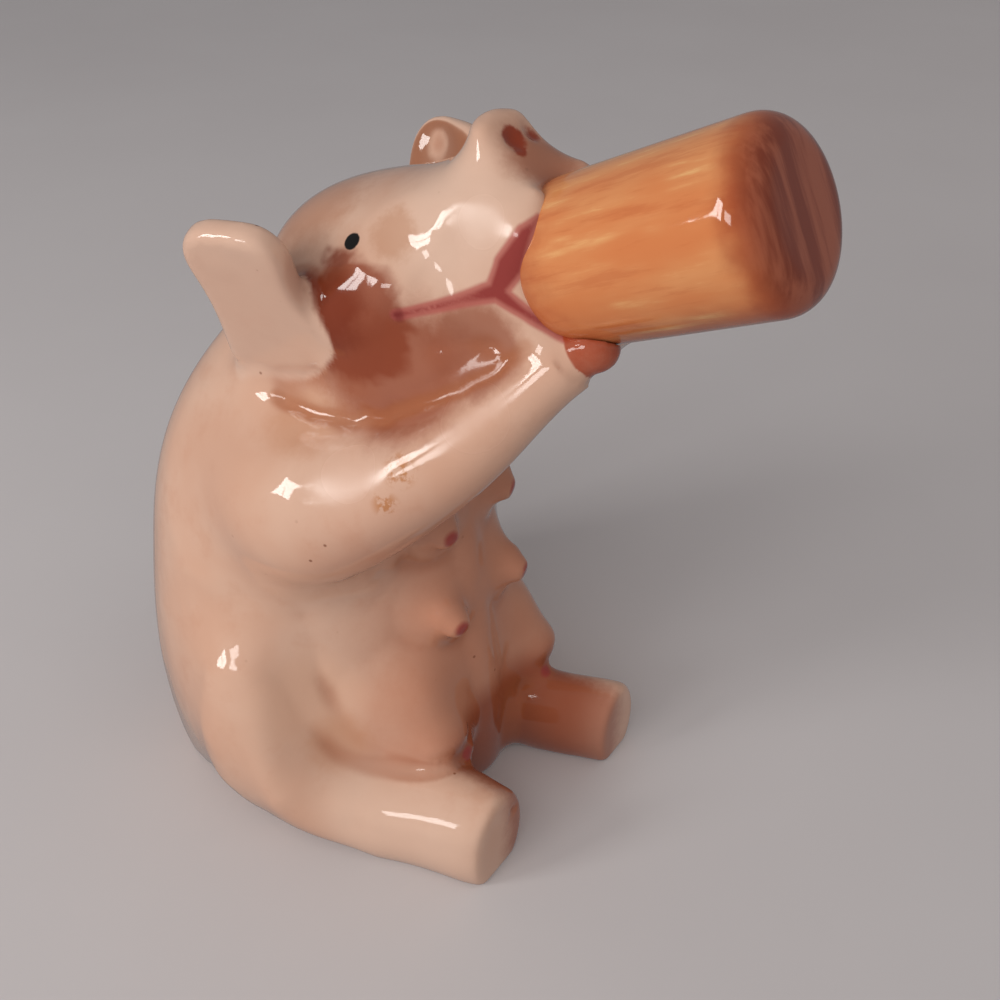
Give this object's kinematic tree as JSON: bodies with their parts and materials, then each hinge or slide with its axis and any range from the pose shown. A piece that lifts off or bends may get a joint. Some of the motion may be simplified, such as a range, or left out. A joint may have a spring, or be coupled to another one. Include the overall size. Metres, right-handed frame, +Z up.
{
  "type": "pig figurine",
  "caption": "Seated glazed ceramic sow with her head tipped back, drinking from a fat bottle held to her mouth with her front trotters; hollow, with a flat seat to stand on.",
  "frame": {"origin": "on the flat seat that the figure stands on, under the front of the belly", "axes": "+Z up, -Y the way the sow faces, +X her left"},
  "size_m": [0.0755, 0.1135, 0.1266],
  "materials": {
    "body_glaze": "gloss",
    "bottle_glaze": "gloss",
    "trotter_glaze": "gloss",
    "lip_glaze": "gloss"
  },
  "bodies": {
    "root": {"torso_shell": "body_glaze", "head_shell": "body_glaze", "lower_jaw": "body_glaze", "snout": "body_glaze", "right_upper_lip": "lip_glaze", "left_upper_lip": "lip_glaze", "lower_lip": "lip_glaze", "bottle": "bottle_glaze", "tail": "body_glaze", "right_arm": "body_glaze", "right_trotter": "trotter_glaze", "right_leg": "body_glaze", "right_ear": "body_glaze", "right_upper_teat": "body_glaze", "right_middle_teat": "body_glaze", "right_lower_teat": "body_glaze", "left_arm": "body_glaze", "left_trotter": "trotter_glaze", "left_leg": "body_glaze", "left_ear": "body_glaze", "left_upper_teat": "body_glaze", "left_middle_teat": "body_glaze", "left_lower_teat": "body_glaze"}
  },
  "joints": []
}
